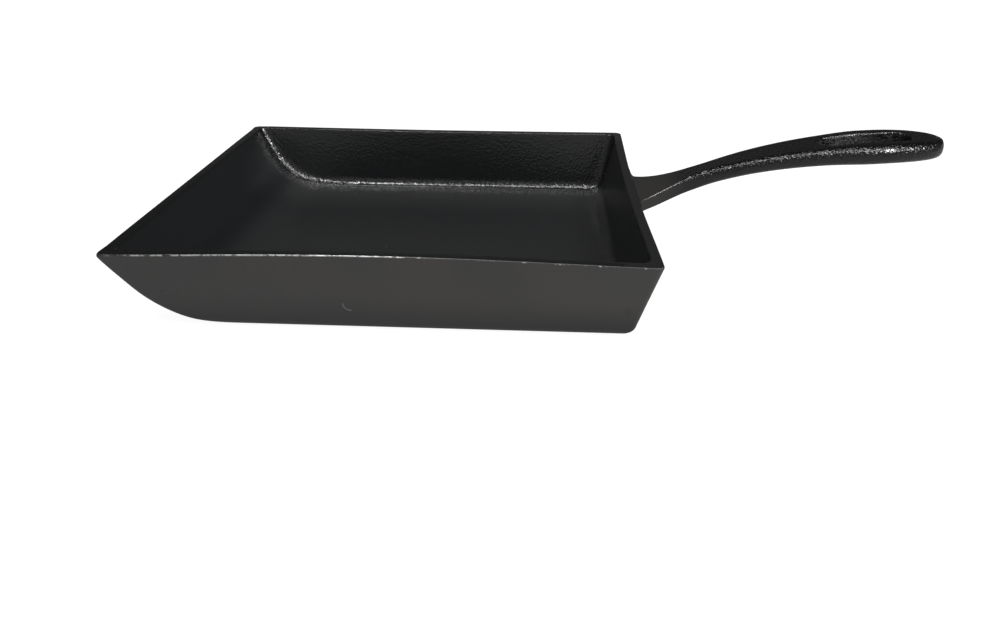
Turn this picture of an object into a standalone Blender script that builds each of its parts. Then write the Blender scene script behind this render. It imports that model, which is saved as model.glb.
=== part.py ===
"""A tamagoyaki pan: a cast iron tray for rolled omelettes with an arched handle.

The tray has two long drafted side walls, a drafted rear wall and, in place of
a front wall, a floor that sweeps up to the rim. The handle leaves the rear
wall, narrows to a neck and swells into a grip with a slot to hang it by.

Lengths are in metres. The origin is on the flat of the base, under the middle
of the rim. +X runs to the handle's end and +Z is up.
"""

import math

import bmesh
import bpy
from mathutils import Vector

MM = 0.001

# Tray, outside
RIM_LENGTH = 186.0 * MM
RIM_WIDTH = 145.0 * MM
TRAY_HEIGHT = 31.0 * MM
SIDE_DRAFT = math.radians(14.5)
REAR_DRAFT = math.radians(13.4)
BASE_EDGE_RADIUS = 5.0 * MM
REAR_CORNER_RADIUS = 2.5 * MM
FRONT_CORNER_RADIUS = 2.5 * MM

# Front ramp: an arc off the base, then straight up to the lip
RAMP_ANGLE = math.radians(59.4)
RAMP_RADIUS = 34.0 * MM

# Tray, inside
WALL_THICKNESS = 3.6 * MM
FLOOR_THICKNESS = 4.5 * MM
FLOOR_FILLET = 4.5 * MM
INNER_CORNER_RADIUS = 4.0 * MM

# Rim: the walls draw in and rise a little between the corners, as cast
SIDE_DRAW_IN = 2.7 * MM
REAR_DRAW_IN = 1.5 * MM
LIP_CORNER_DROP_BACK = 1.2 * MM
RIM_CROWN = 0.5 * MM
RIM_EDGE_RADIUS = 0.6 * MM
LIP_EDGE_RADIUS = 1.5 * MM

# Handle: the middle of its thickness follows one arch from wall to end
HANDLE_LENGTH = 115.0 * MM
ROOT_DROP = 3.2 * MM
HANDLE_RISE = 19.7 * MM
ROOT_ANGLE = math.radians(9.5)
ROOT_PULL = 20.5 * MM
END_ANGLE = math.radians(1.0)
END_PULL = 78.5 * MM

# Handle widths and thicknesses. The root, neck and arm have a place behind the
# wall, and the palm and grip a place before the handle's end
ROOT_WIDTH = 26.4 * MM
ROOT_THICKNESS = 4.5 * MM
ROOT_FILLET = 7.0 * MM
ROOT_UNDER_FILLET = 2.5 * MM
ROOT_TOP_FILLET = 0.6 * MM
NECK_WIDTH = 12.2 * MM
NECK_PLACE = 24.0 * MM
NECK_THICKNESS = 5.2 * MM
ARM_WIDTH = 15.4 * MM
ARM_PLACE = 40.0 * MM
ARM_THICKNESS = 5.8 * MM
PALM_WIDTH = 21.6 * MM
PALM_TO_END = 45.0 * MM
PALM_THICKNESS = 6.7 * MM
GRIP_WIDTH = 25.0 * MM
GRIP_TO_END = 28.0 * MM
GRIP_THICKNESS = 7.4 * MM
ARRIS_RADIUS = 0.6 * MM
SQUARE_UNTIL = 15.0 * MM
ROUND_FROM = 45.0 * MM
END_FULLNESS = 2.5

# Hanging slot: a taper between two round ends, with a bar of iron on each side
# and broken edges. Its ends' centres lie before the handle's end
SLOT_FRONT_TO_END = 41.6 * MM
SLOT_REAR_TO_END = 17.2 * MM
SLOT_BAR_WIDTH = 6.5 * MM
SLOT_CHAMFER = 0.9 * MM

# The handle's root stands this far off the rear wall, so the solids stay apart
ROOT_CLEARANCE = 0.3 * MM

# How finely curves are divided
CORNER_STEPS = 4
SIDE_STEPS = 14
END_STEPS = 8
EDGE_STEPS = 5
RAMP_STEPS = 5
WALL_STEPS = 3
RIM_STEPS = 3
SECTION_STEPS = 4
ARCH_STEPS = 16
ROOT_STEPS = 5
TIP_STEPS = 8

HALF_LENGTH = RIM_LENGTH / 2
HALF_WIDTH = RIM_WIDTH / 2
HALF_PI = math.pi / 2
PALM_PLACE = HANDLE_LENGTH - PALM_TO_END
GRIP_PLACE = HANDLE_LENGTH - GRIP_TO_END


def clear_scene():
    for old in list(bpy.data.objects):
        bpy.data.objects.remove(old, do_unlink=True)


def iron(name, color, roughness):
    """A dark cast iron finish."""
    material = bpy.data.materials.new(name)
    material.use_nodes = True
    shader = material.node_tree.nodes["Principled BSDF"]
    shader.inputs["Base Color"].default_value = (*color, 1.0)
    shader.inputs["Roughness"].default_value = roughness
    shader.inputs["Metallic"].default_value = 0.35
    return material


def object_from_rings(name, rings, material=None):
    """Skin closed rings of equal counts one after another and close both ends."""
    shape = bmesh.new()
    rows = [[shape.verts.new(point) for point in ring] for ring in rings]
    count = len(rows[0])
    for row, above in zip(rows, rows[1:]):
        for i in range(count):
            j = (i + 1) % count
            shape.faces.new((row[i], row[j], above[j], above[i]))
    shape.faces.new(list(reversed(rows[0])))
    shape.faces.new(rows[-1])
    bmesh.ops.recalc_face_normals(shape, faces=shape.faces)
    mesh = bpy.data.meshes.new(name)
    shape.to_mesh(mesh)
    shape.free()
    mesh.shade_smooth()
    mesh.set_sharp_from_angle(angle=math.radians(35))
    if material:
        mesh.materials.append(material)
    placed = bpy.data.objects.new(name, mesh)
    bpy.context.scene.collection.objects.link(placed)
    return placed


def spread(steps, start=0.0, end=1.0):
    """Evenly spaced values from start to end, both included."""
    return [start + (end - start) * i / steps for i in range(steps + 1)]


def smooth_step(value):
    value = min(max(value, 0.0), 1.0)
    return value * value * (3 - 2 * value)


def travel(rise, radius, slope):
    """How far a profile has gone sideways at a height above the flat it leaves.

    It leaves along an arc of the radius and goes on straight at the slope.
    """
    arc_rise = radius * (1 - math.cos(slope))
    if rise <= arc_rise:
        return math.sqrt(max(radius**2 - (radius - rise) ** 2, 0.0))
    return radius * math.sin(slope) + (rise - arc_rise) / math.tan(slope)


class Shell:
    """One skin of the tray: its plan outline at every height."""

    def __init__(self, flat, inset, edge_radius, ramp_radius, rear_corner, front_corner):
        self.flat = flat
        self.edge_radius = edge_radius
        self.ramp_radius = ramp_radius
        self.rear_corner = rear_corner
        self.front_corner = front_corner
        self.inset = inset
        self.front_inset = flat / math.sin(RAMP_ANGLE)

    def wall_set_back(self, height, draft):
        """How far a wall of this draft stands inside the rim at a height."""
        slope = HALF_PI - draft
        full = travel(TRAY_HEIGHT - self.flat, self.edge_radius, slope)
        here = travel(height - self.flat, self.edge_radius, slope)
        return self.inset / math.cos(draft) + full - here

    def ramp_set_back(self, height):
        full = travel(TRAY_HEIGHT - self.flat, self.ramp_radius, RAMP_ANGLE)
        here = travel(height - self.flat, self.ramp_radius, RAMP_ANGLE)
        return self.front_inset + full - here

    def ramp_slope(self, height):
        rise = min(max(height - self.flat, 0.0), self.ramp_radius)
        return min(math.acos(1 - rise / self.ramp_radius), RAMP_ANGLE)

    def heights(self):
        """Levels that suit the edge radius, then the ramp, then the wall."""
        edge_top = self.edge_radius * (1 - math.sin(SIDE_DRAFT))
        ramp_top = self.ramp_radius * (1 - math.cos(RAMP_ANGLE))
        ramp_top = min(ramp_top, (TRAY_HEIGHT - self.flat) * 0.8)
        levels = []
        for turn in spread(EDGE_STEPS, 0.0, HALF_PI - SIDE_DRAFT):
            levels.append(self.edge_radius * (1 - math.cos(turn)))
        for share in spread(RAMP_STEPS)[1:]:
            levels.append(edge_top + (max(ramp_top, edge_top) - edge_top) * share)
        wall_from = levels[-1]
        for share in spread(WALL_STEPS)[1:]:
            levels.append(wall_from + (TRAY_HEIGHT - self.flat - wall_from) * share)
        return [self.flat + level for level in levels]

    def outline(self, height):
        """The plan outline at a height: counter-clockwise from the front left."""
        front = -HALF_LENGTH + self.ramp_set_back(height)
        rear = HALF_LENGTH - self.wall_set_back(height, REAR_DRAFT)
        half = HALF_WIDTH - self.wall_set_back(height, SIDE_DRAFT)
        slope = max(self.ramp_slope(height), math.radians(14))
        long_corner = self.front_corner / math.sin(slope)
        points = []
        corner(points, front, half, long_corner, self.front_corner, HALF_PI, math.pi)
        edge(points, (front, half - self.front_corner), (front, -half + self.front_corner),
             END_STEPS)
        corner(points, front, -half, long_corner, self.front_corner, math.pi, 3 * HALF_PI)
        edge(points, (front + long_corner, -half), (rear - self.rear_corner, -half), SIDE_STEPS)
        corner(points, rear, -half, self.rear_corner, self.rear_corner, 3 * HALF_PI, math.tau)
        edge(points, (rear, -half + self.rear_corner), (rear, half - self.rear_corner),
             END_STEPS)
        corner(points, rear, half, self.rear_corner, self.rear_corner, 0.0, HALF_PI)
        edge(points, (rear - self.rear_corner, half), (front + long_corner, half), SIDE_STEPS)
        return [drawn_in(x, y, height) for x, y in points]

    def rings(self):
        return [self.outline(height) for height in self.heights()]


def corner(points, x, y, reach_x, reach_y, start, end):
    """Add a quarter round inside the corner at x, y."""
    middle_x = x - math.copysign(reach_x, math.cos((start + end) / 2))
    middle_y = y - math.copysign(reach_y, math.sin((start + end) / 2))
    for turn in spread(CORNER_STEPS, start, end):
        points.append((middle_x + reach_x * math.cos(turn), middle_y + reach_y * math.sin(turn)))


def edge(points, start, end, steps):
    """Add the points between the ends of a straight edge."""
    for share in spread(steps)[1:-1]:
        points.append(tuple(a + (b - a) * share for a, b in zip(start, end)))


def bulge(share):
    """0 at both ends of an edge and 1 in its middle."""
    return max(4 * share * (1 - share), 0.0) ** 1.5


def drawn_in(x, y, z):
    """Move a point of the tray as the walls draw in and rise between corners."""
    lift = max(z - FLOOR_THICKNESS, 0.0) / (TRAY_HEIGHT - FLOOR_THICKNESS)
    along = bulge(0.5 + x / RIM_LENGTH)
    across = bulge(0.5 + y / RIM_WIDTH)
    rearward = smooth_step(x / HALF_LENGTH)
    frontward = smooth_step(-x / HALF_LENGTH)
    drop_back = LIP_CORNER_DROP_BACK * (1 - across ** (1 / 3)) * lift**6
    return Vector((
        x - REAR_DRAW_IN * across * lift * rearward + drop_back * frontward,
        y * (1 - SIDE_DRAW_IN * along * lift / HALF_WIDTH),
        z + RIM_CROWN * along * lift**4,
    ))


def rounded_top(below, top, beside, radius):
    """Rings that round the edge between a wall and the rim's flat.

    The wall comes up from below to top, and the flat goes on towards beside.
    """
    rings = [[] for _ in range(RIM_STEPS + 1)]
    for low, point, side in zip(below, top, beside):
        down = (low - point).normalized()
        inward = (side - point).normalized()
        half_angle = down.angle(inward) / 2
        size = radius(point)
        middle = point + (down + inward).normalized() * size / math.sin(half_angle)
        first = point + down * size / math.tan(half_angle) - middle
        last = point + inward * size / math.tan(half_angle) - middle
        for ring, share in zip(rings, spread(RIM_STEPS)):
            ring.append(middle + first.lerp(last, share).normalized() * size)
    return rings


def outer_edge_radius(point):
    """The lip is rounder than the rest of the rim."""
    frontness = smooth_step((-HALF_LENGTH + 6 * LIP_EDGE_RADIUS - point.x) / (4 * LIP_EDGE_RADIUS))
    return RIM_EDGE_RADIUS + (LIP_EDGE_RADIUS - RIM_EDGE_RADIUS) * frontness


def inner_edge_radius(point):
    return RIM_EDGE_RADIUS


def outer_shell():
    return Shell(0.0, 0.0, BASE_EDGE_RADIUS, RAMP_RADIUS, REAR_CORNER_RADIUS,
                 FRONT_CORNER_RADIUS)


def inner_shell():
    return Shell(FLOOR_THICKNESS, WALL_THICKNESS, FLOOR_FILLET, RAMP_RADIUS - FLOOR_THICKNESS,
                 INNER_CORNER_RADIUS, INNER_CORNER_RADIUS)


def build_tray():
    outer = outer_shell().rings()
    inner = inner_shell().rings()
    outer_top = rounded_top(outer[-2], outer[-1], inner[-1], outer_edge_radius)
    inner_top = rounded_top(inner[-2], inner[-1], outer[-1], inner_edge_radius)
    rings = outer[:-1] + outer_top + inner_top[::-1] + inner[-2::-1]
    return object_from_rings("pan_body", rings, iron("pan_body_iron", (0.022, 0.022, 0.024), 0.55))


def rear_face(y, z):
    """The X of the rear wall's outer face behind a point of the handle's root."""
    flat_x = HALF_LENGTH - outer_shell().wall_set_back(z, REAR_DRAFT)
    return drawn_in(flat_x, y, z).x


class Arch:
    """The handle's middle line, as one cubic curve in the XZ plane."""

    def __init__(self):
        root = Vector((HALF_LENGTH, 0.0, TRAY_HEIGHT - ROOT_DROP))
        end = Vector((HALF_LENGTH + HANDLE_LENGTH, 0.0, TRAY_HEIGHT + HANDLE_RISE))
        leave = Vector((math.cos(ROOT_ANGLE), 0.0, math.sin(ROOT_ANGLE)))
        arrive = Vector((math.cos(END_ANGLE), 0.0, math.sin(END_ANGLE)))
        self.guides = (root, root + leave * ROOT_PULL, end - arrive * END_PULL, end)

    def at(self, t):
        a, b, c, d = self.guides
        s = 1 - t
        return a * s**3 + b * 3 * s * s * t + c * 3 * s * t * t + d * t**3

    def direction(self, t):
        a, b, c, d = self.guides
        s = 1 - t
        return ((b - a) * s * s + (c - b) * 2 * s * t + (d - c) * t * t).normalized()

    def find(self, distance):
        """The curve's parameter at a distance behind the rim, by halving."""
        low, high = 0.0, 1.0
        for _ in range(40):
            middle = (low + high) / 2
            if self.at(middle).x - HALF_LENGTH < distance:
                low = middle
            else:
                high = middle
        return (low + high) / 2


def fillet_growth(distance, radius):
    """How much a fillet of the radius adds at a distance from its wall."""
    if distance >= radius:
        return 0.0
    return radius - math.sqrt(radius**2 - (radius - distance) ** 2)


def through(distance, knots):
    """A smooth curve through (distance, value) knots, level at the first and the last."""
    if distance <= knots[0][0]:
        return knots[0][1]
    if distance >= knots[-1][0]:
        return knots[-1][1]
    slopes = [0.0]
    for (start, low), _, (end, high) in zip(knots, knots[1:], knots[2:]):
        slopes.append((high - low) / (end - start))
    slopes.append(0.0)
    i = max(i for i, knot in enumerate(knots) if knot[0] <= distance)
    run = knots[i + 1][0] - knots[i][0]
    t = (distance - knots[i][0]) / run
    return (
        knots[i][1] * (1 + 2 * t) * (1 - t) ** 2
        + knots[i + 1][1] * (3 - 2 * t) * t**2
        + slopes[i] * run * t * (1 - t) ** 2
        - slopes[i + 1] * run * (1 - t) * t**2
    )


def end_taper(distance):
    """1 along the grip, falling to 0 round the handle's end."""
    share = (distance - GRIP_PLACE) / GRIP_TO_END
    share = min(max(share, 0.0), 1.0)
    return (1 - share**END_FULLNESS) ** (1 / END_FULLNESS)


def half_handle_width(distance):
    """The root narrows to the neck, and then the grip swells."""
    root_share = max(1 - distance / NECK_PLACE, 0.0) ** 2
    width = through(distance, (
        (NECK_PLACE, NECK_WIDTH),
        (ARM_PLACE, ARM_WIDTH),
        (PALM_PLACE, PALM_WIDTH),
        (GRIP_PLACE, GRIP_WIDTH),
    ))
    width += (ROOT_WIDTH - NECK_WIDTH) * root_share
    return width / 2 * end_taper(distance) + fillet_growth(distance, ROOT_FILLET)


def handle_thickness(distance):
    thickness = through(distance, (
        (0.0, ROOT_THICKNESS),
        (NECK_PLACE, NECK_THICKNESS),
        (ARM_PLACE, ARM_THICKNESS),
        (PALM_PLACE, PALM_THICKNESS),
        (GRIP_PLACE, GRIP_THICKNESS),
    ))
    return thickness * end_taper(distance) ** 0.2


def handle_section(arch, distance):
    """One closed section of the handle, square at the root and round at the grip."""
    t = arch.find(distance)
    middle = arch.at(t)
    direction = arch.direction(t)
    settled = smooth_step(distance / (ROOT_WIDTH / 2))
    level = math.atan2(direction.z, direction.x)
    tilt = -REAR_DRAFT + (level + REAR_DRAFT) * settled
    half_width = half_handle_width(distance)
    half_thick = handle_thickness(distance) / 2
    roundness = smooth_step((distance - SQUARE_UNTIL) / (ROUND_FROM - SQUARE_UNTIL))
    radius = ARRIS_RADIUS + (0.98 * half_thick - ARRIS_RADIUS) * roundness
    radius = min(radius, 0.98 * half_thick, 0.98 * half_width)
    top = half_thick + fillet_growth(distance, ROOT_TOP_FILLET)
    under = -half_thick - fillet_growth(distance, ROOT_UNDER_FILLET)
    up = Vector((-math.sin(tilt), 0.0, math.cos(tilt)))
    quarters = (
        (half_width - radius, top - radius, 0.0),
        (radius - half_width, top - radius, HALF_PI),
        (radius - half_width, under + radius, math.pi),
        (half_width - radius, under + radius, 3 * HALF_PI),
    )
    ring = []
    for across, rise, start in quarters:
        for turn in spread(SECTION_STEPS, start, start + HALF_PI):
            y = across + radius * math.cos(turn)
            ring.append(middle + Vector((0.0, y, 0.0)) + up * (rise + radius * math.sin(turn)))
    return ring


def handle_stations():
    """Distances behind the wall: close together at the root and at the end."""
    root = [ROOT_FILLET * (1 - math.cos(turn)) for turn in spread(ROOT_STEPS, 0.0, HALF_PI)]
    arch = spread(ARCH_STEPS, ROOT_FILLET, GRIP_PLACE)[1:]
    tip = [math.sin(turn) for turn in spread(TIP_STEPS, 0.0, math.radians(84))][1:]
    return root + arch + [GRIP_PLACE + GRIP_TO_END * share for share in tip]


def slot_outline(grow):
    """The slot's plan outline as (distance, y), pushed outwards by grow."""
    front = HANDLE_LENGTH - SLOT_FRONT_TO_END
    rear = HANDLE_LENGTH - SLOT_REAR_TO_END
    front_radius = half_handle_width(front) - SLOT_BAR_WIDTH
    rear_radius = half_handle_width(rear) - SLOT_BAR_WIDTH
    lean = math.asin((rear_radius - front_radius) / (rear - front))
    points = []
    for turn in spread(3 * CORNER_STEPS, -HALF_PI - lean, HALF_PI + lean):
        reach = rear_radius + grow
        points.append((rear + reach * math.cos(turn), reach * math.sin(turn)))
    for turn in spread(2 * CORNER_STEPS, HALF_PI + lean, 3 * HALF_PI - lean):
        reach = front_radius + grow
        points.append((front + reach * math.cos(turn), reach * math.sin(turn)))
    return points


def slot_cutter(arch):
    """A plug for the slot that flares at both faces to break the edges."""
    half = GRIP_THICKNESS / 2
    levels = (
        (-half - SLOT_CHAMFER, 2 * SLOT_CHAMFER),
        (-half + SLOT_CHAMFER, 0.0),
        (half - SLOT_CHAMFER, 0.0),
        (half + SLOT_CHAMFER, 2 * SLOT_CHAMFER),
    )
    rings = []
    for level, grow in levels:
        ring = []
        for distance, y in slot_outline(grow):
            middle = arch.at(arch.find(distance))
            ring.append(middle + Vector((0.0, y, level)))
        rings.append(ring)
    return object_from_rings("slot_cutter", rings)


def build_handle():
    arch = Arch()
    rings = [handle_section(arch, distance) for distance in handle_stations()]
    for point in rings[0]:
        point.x = rear_face(point.y, point.z) + ROOT_CLEARANCE
    handle = object_from_rings("handle", rings, iron("handle_iron", (0.026, 0.025, 0.025), 0.5))
    cutter = slot_cutter(arch)
    cutter.hide_render = True
    cutter.display_type = "WIRE"
    cut = handle.modifiers.new("hanging slot", "BOOLEAN")
    cut.operation = "DIFFERENCE"
    cut.solver = "EXACT"
    cut.object = cutter
    return handle


clear_scene()
build_tray()
build_handle()
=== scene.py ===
"""Looks for the tamagoyaki pan: fine cast meshes, iron finishes, a studio and the camera.

The tray and the handle are modelled again here with finer curves, broken edges
and a root that flows into the rear wall. Each stands for the CAD node of the
same part. Lengths are in metres.
"""

import math

import bmesh
import bpy
import numpy as np
from mathutils import Matrix, Vector


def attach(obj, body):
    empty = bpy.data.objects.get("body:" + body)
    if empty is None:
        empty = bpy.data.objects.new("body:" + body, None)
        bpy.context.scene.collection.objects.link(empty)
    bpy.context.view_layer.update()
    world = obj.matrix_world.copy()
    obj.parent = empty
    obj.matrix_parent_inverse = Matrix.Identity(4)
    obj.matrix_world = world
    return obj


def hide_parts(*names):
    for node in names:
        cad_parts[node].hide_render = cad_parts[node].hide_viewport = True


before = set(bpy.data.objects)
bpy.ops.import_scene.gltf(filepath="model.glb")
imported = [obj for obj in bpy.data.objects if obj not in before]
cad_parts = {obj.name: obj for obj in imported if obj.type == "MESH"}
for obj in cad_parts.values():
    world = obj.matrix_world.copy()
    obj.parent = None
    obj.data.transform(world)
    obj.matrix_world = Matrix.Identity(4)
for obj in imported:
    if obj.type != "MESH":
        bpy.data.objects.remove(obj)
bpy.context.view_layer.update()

MM = 0.001
HALF_PI = math.pi / 2

# Tray: the solid's sizes, with finer corners
HALF_LENGTH = 93.0 * MM
HALF_WIDTH = 72.5 * MM
TRAY_HEIGHT = 31.0 * MM
SIDE_DRAFT = math.radians(14.5)
REAR_DRAFT = math.radians(13.4)
BASE_EDGE_RADIUS = 5.0 * MM
REAR_CORNER_RADIUS = 2.3 * MM
FRONT_CORNER_RADII = (2.4 * MM, 1.8 * MM)
LEAST_CORNER_SLOPE = math.radians(14)
RAMP_ANGLE = math.radians(59.4)
RAMP_RADIUS = 34.0 * MM
WALL_THICKNESS = 3.6 * MM
FLOOR_THICKNESS = 4.5 * MM
FLOOR_FILLET = 4.5 * MM
INNER_CORNER_RADIUS = 4.0 * MM
CREASE_RADII = (5.0 * MM, 2.4 * MM)
SIDE_DRAW_IN = 2.7 * MM
REAR_DRAW_IN = 1.5 * MM
BULGE_POWER = 1.5
LIP_CORNER_DROP_BACK = 1.0 * MM
RIM_CROWN = 0.5 * MM
RIM_EDGE_RADIUS = 0.6 * MM
LIP_EDGE_RADIUS = 1.5 * MM
LIP_CORNER_EDGE_RADIUS = 1.1 * MM

# The lip's roundness fades out between these distances behind it, and its
# corners' own roundness begins this far from the sides
LIP_FADE = (2 * LIP_EDGE_RADIUS, 6 * LIP_EDGE_RADIUS)
LIP_CORNER_REACH = 7 * MM
LIP_CORNER_FADE = 6 * MM

# Handle: its middle line, its widths, and places measured from the rear rim
HANDLE_LENGTH = 115.4 * MM
ROOT_DROP = 3.2 * MM
HANDLE_RISE = 19.7 * MM
ROOT_ANGLE = math.radians(9.5)
ROOT_PULL = 20.5 * MM
END_ANGLE = math.radians(1.0)
END_PULL = 78.5 * MM
ROOT_WIDTH = 28.9 * MM
NECK_WIDTH = 11.9 * MM
ROOT_REACH = 19.0 * MM
FLARE_POWER = 1.6
ROOT_PLACE = -1.45 * MM
GRIP_PLACE = 87.0 * MM
ARRIS_RADIUS = 0.6 * MM
SQUARE_UNTIL = 11.0 * MM
ROUND_FROM = 30.0 * MM
END_FULLNESS = 2.5
TOP_FALL = 0.2
UNDERSIDE_FALL = 0.1

# A section's corner radius is at most this share of its half height or width
MOST_ROUND = 0.98

# Widths of the handle, and how far its top and underside lie from its middle line,
# at distances behind the rear rim
HANDLE_WIDTHS = ((20.0, 11.9), (25.0, 12.1), (40.0, 15.4), (70.0, 21.6), (87.0, 25.0))
HANDLE_TOPS = (
    (0.0, 2.25), (12.0, 2.45), (22.0, 3.0), (32.0, 3.05), (40.0, 3.05), (70.0, 3.35),
    (87.0, 3.7),
)
HANDLE_UNDERSIDES = (
    (0.0, 3.0), (4.0, 2.9), (14.0, 2.85), (24.0, 3.15), (40.0, 3.0), (70.0, 3.5),
    (87.0, 3.95),
)

SLOT_FRONT_PLACE = 73.4 * MM
SLOT_REAR_PLACE = 97.8 * MM
SLOT_BAR_WIDTH = 6.5 * MM
SLOT_ROUNDING = 0.9 * MM

# The slot's cutter follows its rounding over this turn, and then leaves the iron
# by these shares of the rounding: how far it rises, rises on, and widens
SLOT_TURN = math.radians(78)
SLOT_EXIT_RISE = 0.35
SLOT_EXIT_HEIGHT = 4
SLOT_EXIT_WIDTH = 1.6

# Fillets between the root and the rear wall: how far each goes along the
# handle, and how far along the wall
SIDE_FILLET = (1.3 * MM, 6.3 * MM)
TOP_FILLET = (1.6 * MM, 0.8 * MM)
UNDER_FILLET = (1.5 * MM, 1.5 * MM)

# Over this distance behind the wall the handle's sections turn from the wall's shape
ROOT_BLEND = 8.0 * MM

# How deep the handle's root goes into the rear wall, so that no seam shows
ROOT_SINK = 0.06 * MM

# How finely the meshes are divided
CORNER_STEPS = 8
SIDE_STEPS = 96
END_STEPS = 64
EDGE_STEPS = 12
RAMP_STEPS = 16
WALL_STEPS = 8
RIM_STEPS = 6
SECTION_ARC_STEPS = 10
SECTION_FLAT_STEPS = 14
SECTION_SIDE_STEPS = 3
ARCH_STEPS = 150
ROOT_STEPS = 16
TIP_STEPS = 36
TIP_TURN = math.radians(87)
BASE_STEPS = 10
FLOOR_STEPS = 24
FLAT_SHARES = (0.25, 0.5, 0.75)
CORE_SHARE = 0.96
ARCH_SAMPLES = 2001
SLOT_REAR_STEPS = 40
SLOT_FRONT_STEPS = 30
SLOT_SIDE_STEPS = 24
SLOT_ROUNDING_STEPS = 8
MERGE_DISTANCE = 0.002 * MM

# Where the fillet marks begin and end, as shares of the fillet's steps, how many
# rings they take to rise over the floor, and how many steps they reach past a corner
FILLET_START = 0.42
FILLET_RISE = 0.3
FILLET_END = 1.1
FILLET_FALL = 0.15
FILLET_FLOOR_RINGS = 3
CREASE_STEPS = 2.5
SMOOTH_ANGLE = 50

# The camera: the photograph's frame, focal length in its pixels, and the place
IMAGE_WIDTH = 1000
IMAGE_HEIGHT = 642
FOCAL_PIXELS = 720.0
OPTICAL_CENTRE = (509.948, 219.126)
SENSOR_WIDTH = 36.0
CAMERA_PLACE = Vector((51.1, -274.9, 137.35)) * MM
CAMERA_YAW = math.radians(-2.15)
CAMERA_PITCH = math.radians(24.034)
CAMERA_ROLL = math.radians(-0.438)


# Small helpers


def smooth_step(value):
    value = np.clip(value, 0.0, 1.0)
    return value * value * (3 - 2 * value)


def travel(rise, radius, slope):
    """How far a profile has gone sideways: along an arc, then straight at the slope."""
    arc_rise = radius * (1 - math.cos(slope))
    if rise <= arc_rise:
        return math.sqrt(max(radius**2 - (radius - rise) ** 2, 0.0))
    return radius * math.sin(slope) + (rise - arc_rise) / math.tan(slope)


def through(distance, knots):
    """A smooth curve through (distance, value) knots in millimetres, level at both ends."""
    distance = distance / MM
    if distance <= knots[0][0]:
        return knots[0][1] * MM
    if distance >= knots[-1][0]:
        return knots[-1][1] * MM
    slopes = [0.0]
    for (start, low), _, (end, high) in zip(knots, knots[1:], knots[2:]):
        slopes.append((high - low) / (end - start))
    slopes.append(0.0)
    i = max(i for i, knot in enumerate(knots) if knot[0] <= distance)
    run = knots[i + 1][0] - knots[i][0]
    t = (distance - knots[i][0]) / run
    value = knots[i][1] * (1 + 2 * t) * (1 - t) ** 2
    value += knots[i + 1][1] * (3 - 2 * t) * t**2
    value += slopes[i] * run * t * (1 - t) ** 2
    value -= slopes[i + 1] * run * (1 - t) * t**2
    return value * MM


def spread(numbers, rings):
    """A number for every point, from one for all, one for each ring or one for each point."""
    numbers = np.asarray(numbers, float)
    if numbers.ndim < 2:
        numbers = np.broadcast_to(numbers, len(rings))[:, None]
    return numbers * np.ones(len(rings[0]))


def mesh_from_rings(name, rings, values=None):
    """Skin closed rings of equal counts, and close both ends.

    For each attribute, values holds a number for each ring or for each of its points.
    """
    count = len(rings[0])
    points = np.concatenate(rings)
    faces = []
    for row in range(len(rings) - 1):
        low, high = row * count, (row + 1) * count
        for i in range(count):
            j = (i + 1) % count
            faces.append((low + i, low + j, high + j, high + i))
    faces.append(tuple(reversed(range(count))))
    last = (len(rings) - 1) * count
    faces.append(tuple(range(last, last + count)))
    mesh = bpy.data.meshes.new(name)
    mesh.from_pydata(points.tolist(), [], faces)
    for attribute_name, numbers in (values or {}).items():
        attribute = mesh.attributes.new(attribute_name, "FLOAT", "POINT")
        numbers = spread(numbers, rings)
        attribute.data.foreach_set("value", numbers.ravel().astype(np.float32))
    mesh.validate()
    mesh.update()
    placed = bpy.data.objects.new(name, mesh)
    bpy.context.scene.collection.objects.link(placed)
    return placed


def shade(placed):
    placed.data.shade_smooth()
    placed.data.set_sharp_from_angle(angle=math.radians(SMOOTH_ANGLE))


# Tray


def bulge(share):
    """0 at both ends of an edge and 1 in its middle."""
    return np.maximum(4 * share * (1 - share), 0.0) ** BULGE_POWER


def drawn_in(points):
    """Move the tray's points as its walls draw in and rise between the corners."""
    x, y, z = points.T
    lift = np.maximum(z - FLOOR_THICKNESS, 0.0) / (TRAY_HEIGHT - FLOOR_THICKNESS)
    along = bulge(0.5 + x / (2 * HALF_LENGTH))
    across = bulge(0.5 + y / (2 * HALF_WIDTH))
    rearward = smooth_step(x / HALF_LENGTH)
    frontward = smooth_step(-x / HALF_LENGTH)
    drop_back = LIP_CORNER_DROP_BACK * (1 - across ** (1 / 3)) * lift**6
    return np.stack([
        x - REAR_DRAW_IN * across * lift * rearward + drop_back * frontward,
        y * (1 - SIDE_DRAW_IN * along * lift / HALF_WIDTH),
        z + RIM_CROWN * along * lift**4,
    ], axis=1)


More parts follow.
